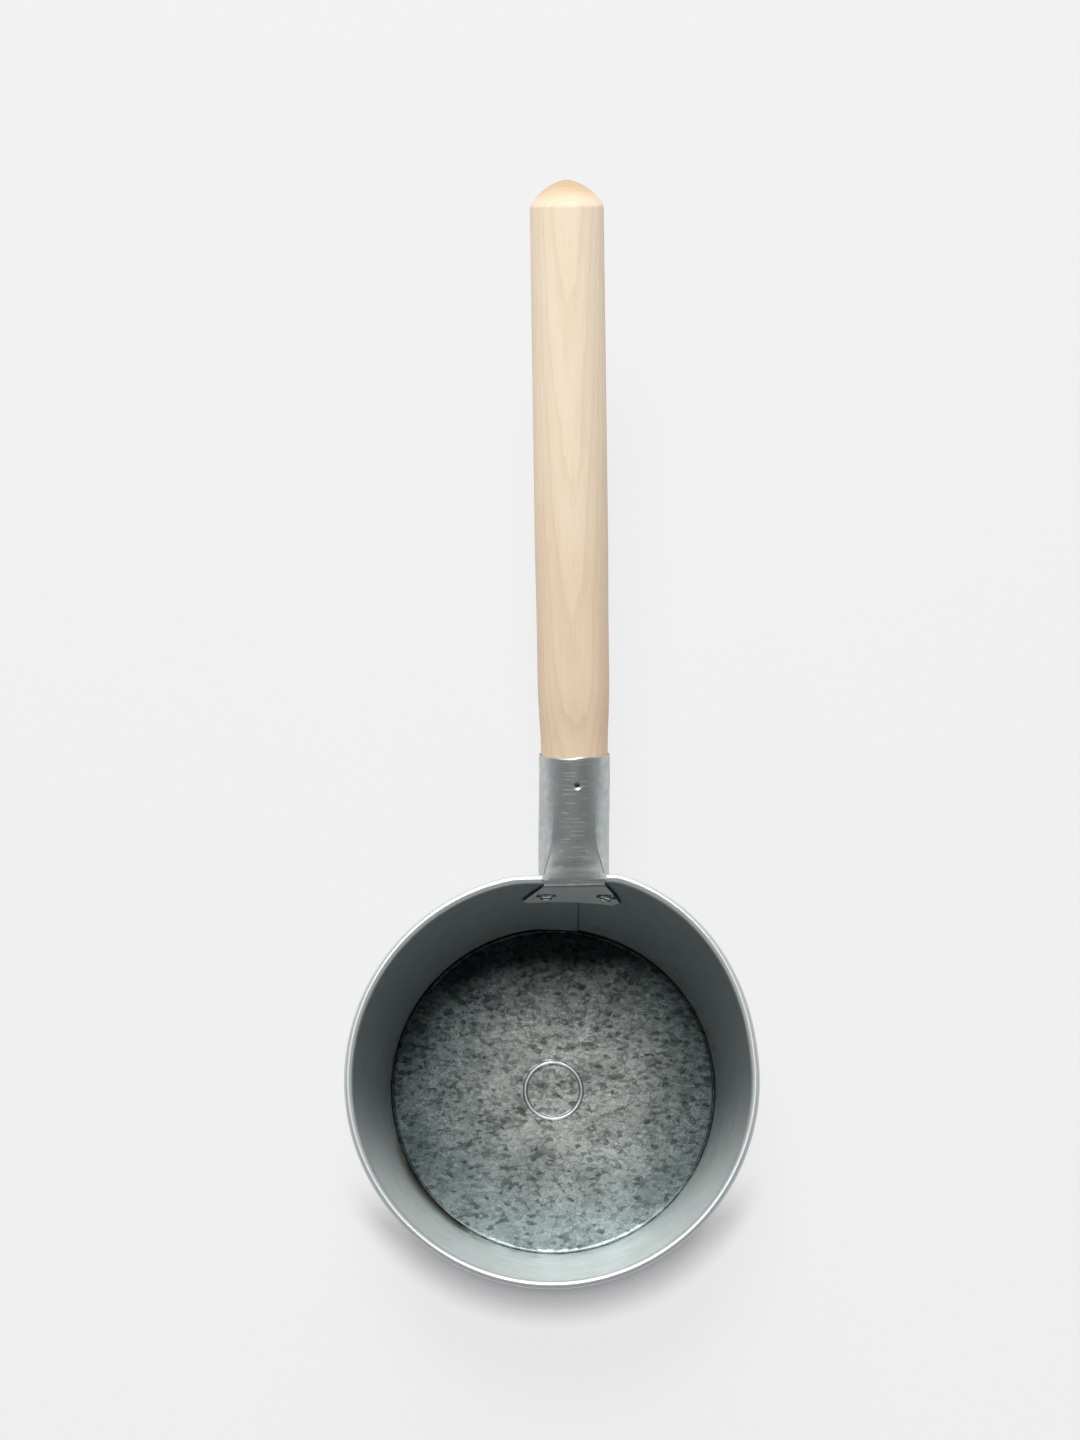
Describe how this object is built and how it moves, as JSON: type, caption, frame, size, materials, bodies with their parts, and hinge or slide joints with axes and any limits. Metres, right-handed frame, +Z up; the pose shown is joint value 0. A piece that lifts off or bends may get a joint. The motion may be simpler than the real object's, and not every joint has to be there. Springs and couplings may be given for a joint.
{
  "type": "feed scoop",
  "caption": "Round sheet-steel feed scoop with a wired rim, a flat recessed bottom and a turned wooden handle in a riveted, nailed socket.",
  "frame": {"origin": "on the bowl's axis, in the plane that the bowl's foot stands on", "axes": "+Z up the bowl's axis, out of its mouth; +Y the way that the handle points"},
  "size_m": [0.184, 0.4816, 0.1752],
  "materials": {
    "galvanised_wall": "dull galvanised",
    "wire_steel": "drawn",
    "galvanised_bottom": "galvanised with zinc spangle",
    "galvanised_socket": "dull galvanised",
    "rivet_steel": "tinned",
    "pale_wood": "bare, fine sanded",
    "nail_steel": "dull wire nail"
  },
  "bodies": {
    "root": {"bowl_wall": "galvanised_wall", "rim_wire": "wire_steel", "bowl_bottom": "galvanised_bottom", "handle_socket": "galvanised_socket", "rivet_left": "rivet_steel", "rivet_right": "rivet_steel", "wooden_handle": "pale_wood", "handle_nail": "nail_steel"}
  },
  "joints": []
}
